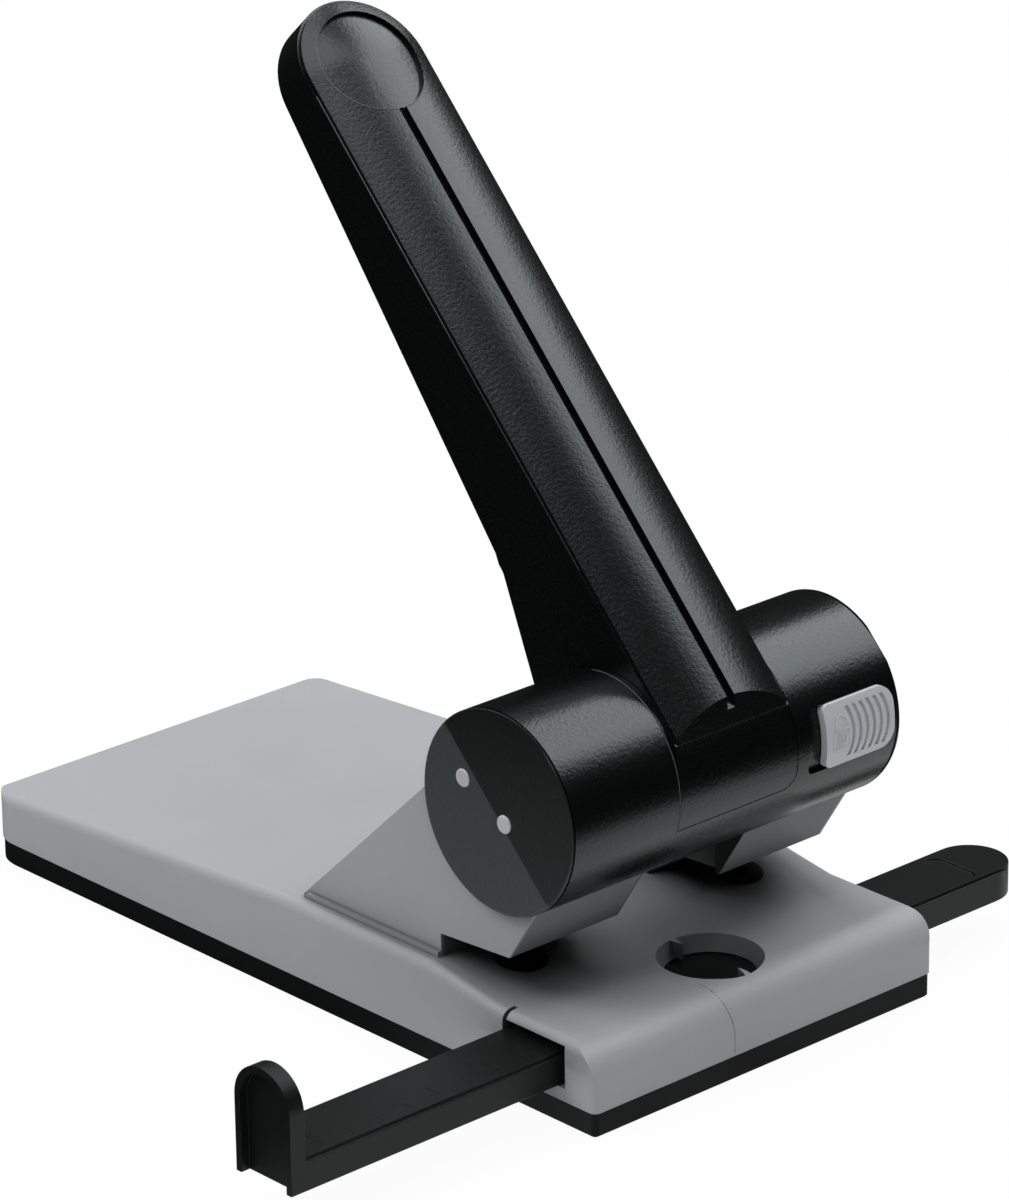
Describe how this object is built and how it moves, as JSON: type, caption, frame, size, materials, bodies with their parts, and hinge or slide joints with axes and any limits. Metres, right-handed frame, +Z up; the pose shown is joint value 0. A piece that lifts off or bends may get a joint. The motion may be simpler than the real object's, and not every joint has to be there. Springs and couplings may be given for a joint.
{
  "type": "two-hole punch",
  "caption": "Heavy-duty desk punch: grey cast base, black barrel with a long crowned lever, rack-driven punches, sliding lock button and a sliding paper guide with an upright stop.",
  "frame": {"origin": "on the underside of the bottom tray, at mid width between the two holes, straight below the lever's axis", "axes": "+X to the right along the barrel, +Y to the rear, +Z up"},
  "size_m": [0.2665, 0.2525, 0.2565],
  "materials": {
    "grey_paint": "satin silver-grey paint on a light-alloy casting",
    "black_paint": "semi-gloss black paint with a fine grain on a light-alloy casting",
    "black_plastic": "satin black moulded plastic",
    "button_plastic": "satin light grey moulded plastic",
    "bright_steel": "bright plated steel",
    "screw_steel": "zinc-plated steel",
    "dark_steel": "hardened dark steel",
    "bronze": "plain bearing bronze"
  },
  "bodies": {
    "base": {"base_body": "grey_paint", "bottom_tray": "black_plastic", "left_tower": "grey_paint", "right_tower": "grey_paint", "tower_screws": "screw_steel", "barrel_housing": "black_paint", "barrel_screws": "screw_steel", "left_end_cap": "black_paint", "right_end_cap": "black_paint", "end_cap_pins": "bright_steel", "left_bearing": "bronze", "right_bearing": "bronze", "left_guide_bush": "bronze", "right_guide_bush": "bronze", "left_spring": "bright_steel", "right_spring": "bright_steel", "left_die": "dark_steel", "right_die": "dark_steel"},
    "lever": {"pivot_shaft": "bright_steel", "left_pinion": "dark_steel", "right_pinion": "dark_steel", "left_spacer": "dark_steel", "right_spacer": "dark_steel", "lever_arm": "black_paint", "lever_cover": "black_paint", "cover_screws": "screw_steel"},
    "left_rod": {"left_punch": "bright_steel"},
    "right_rod": {"right_punch": "bright_steel"},
    "lock": {"lock_button": "button_plastic", "lock_bolt": "bright_steel"},
    "rail": {"guide_rail": "black_plastic"}
  },
  "joints": [
    {"name": "lever_press", "type": "hinge", "parent": "base", "child": "lever", "pos_m": [0, 0, 0.0787], "axis": [-1, 0, 0], "range_deg": [0, 57], "stiffness_Nm_per_rad": 1.5, "springref_deg": -57.3},
    {"name": "left_punch_drop", "type": "slide", "parent": "base", "child": "left_rod", "axis": [0, 0, -1], "range_m": [0, 0.0135], "deforming": ["left_spring"]},
    {"name": "right_punch_drop", "type": "slide", "parent": "base", "child": "right_rod", "axis": [0, 0, -1], "range_m": [0, 0.0135], "deforming": ["right_spring"]},
    {"name": "rail_slide", "type": "slide", "parent": "base", "child": "rail", "axis": [1, 0, 0], "range_m": [-0.0615, 0.08]},
    {"name": "lock_slide", "type": "slide", "parent": "base", "child": "lock", "axis": [-1, 0, 0], "range_m": [0, 0.0055]}
  ],
  "couplings": [
    {"joint": "left_punch_drop", "follows": "lever_press", "m_per_rad": 0.0135},
    {"joint": "right_punch_drop", "follows": "lever_press", "m_per_rad": 0.0135}
  ]
}
